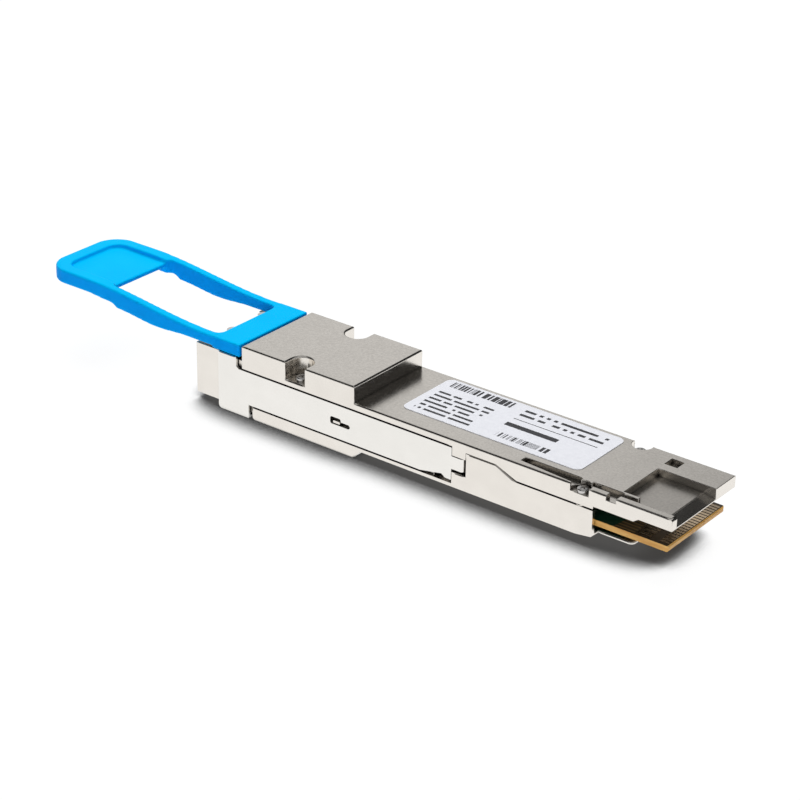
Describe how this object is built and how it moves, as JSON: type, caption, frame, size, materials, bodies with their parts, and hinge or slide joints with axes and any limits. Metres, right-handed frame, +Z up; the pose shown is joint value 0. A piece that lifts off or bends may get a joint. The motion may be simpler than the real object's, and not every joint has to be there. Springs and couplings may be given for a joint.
{
  "type": "optical transceiver module",
  "caption": "Pluggable optical transceiver: flat plated metal body with a raised block, fibre ports in the nose, a sliding side-arm release with a blue finger-loop pull tab, and a card edge.",
  "frame": {"origin": "centre of the footprint, on the plane of the belly's lowest face", "axes": "+X along the module from the pull tab to the card edge, +Y to the side with the square recess, +Z up through the labelled lid"},
  "size_m": [0.1308, 0.0184, 0.0152],
  "materials": {
    "nickel_zinc": "die-cast zinc, satin nickel plate",
    "spring_steel": "bright stamped stainless sheet and wire",
    "screw_steel": "nickel-plated machine screws",
    "tab_blue": "moulded blue elastomer, satin",
    "label_white": "white polyester sticker, semi-matte",
    "insert_dark": "dark moulded plastic",
    "ferrule_white": "white zirconia",
    "gasket_grey": "conductive silicone",
    "optics_gold": "gold-plated package",
    "optics_silver": "nickel-plated package",
    "thermal_pad": "soft silicone gap pad",
    "flex_amber": "polyimide film with copper",
    "board_brown": "glass-epoxy laminate with dark mask",
    "contact_gold": "gold-plated copper",
    "chip_black": "moulded epoxy package",
    "ceramic_tan": "sintered ceramic",
    "inductor_grey": "pressed ferrite"
  },
  "bodies": {
    "housing": {"lower_housing": "nickel_zinc", "upper_housing": "nickel_zinc", "return_spring_left": "spring_steel", "return_spring_right": "spring_steel", "cover_screws": "screw_steel", "product_label": "label_white", "port_insert": "insert_dark", "ferrule_sleeves": "ferrule_white", "bulkhead_gasket": "gasket_grey", "sleeve_clamp": "spring_steel", "transmitter_left": "optics_gold", "transmitter_right": "optics_gold", "receiver_left": "optics_silver", "receiver_right": "optics_silver", "optics_thermal_pad": "thermal_pad", "flex_circuits": "flex_amber", "main_board": "board_brown", "edge_contacts_top": "contact_gold", "edge_contacts_bottom": "contact_gold", "signal_processor": "chip_black", "processor_thermal_pad": "thermal_pad", "controller_chip": "chip_black", "laser_drivers": "chip_black", "clock_oscillator": "optics_silver", "power_inductors": "inductor_grey", "board_capacitors": "ceramic_tan"},
    "release": {"release_slider": "spring_steel", "pull_tab": "tab_blue"}
  },
  "joints": [
    {"name": "pull_tab_slide", "type": "slide", "parent": "housing", "child": "release", "axis": [-1, 0, 0], "range_m": [0, 0.002], "stiffness_N_per_m": 600, "springref_m": -0.002, "deforming": ["return_spring_left", "return_spring_right"]}
  ]
}
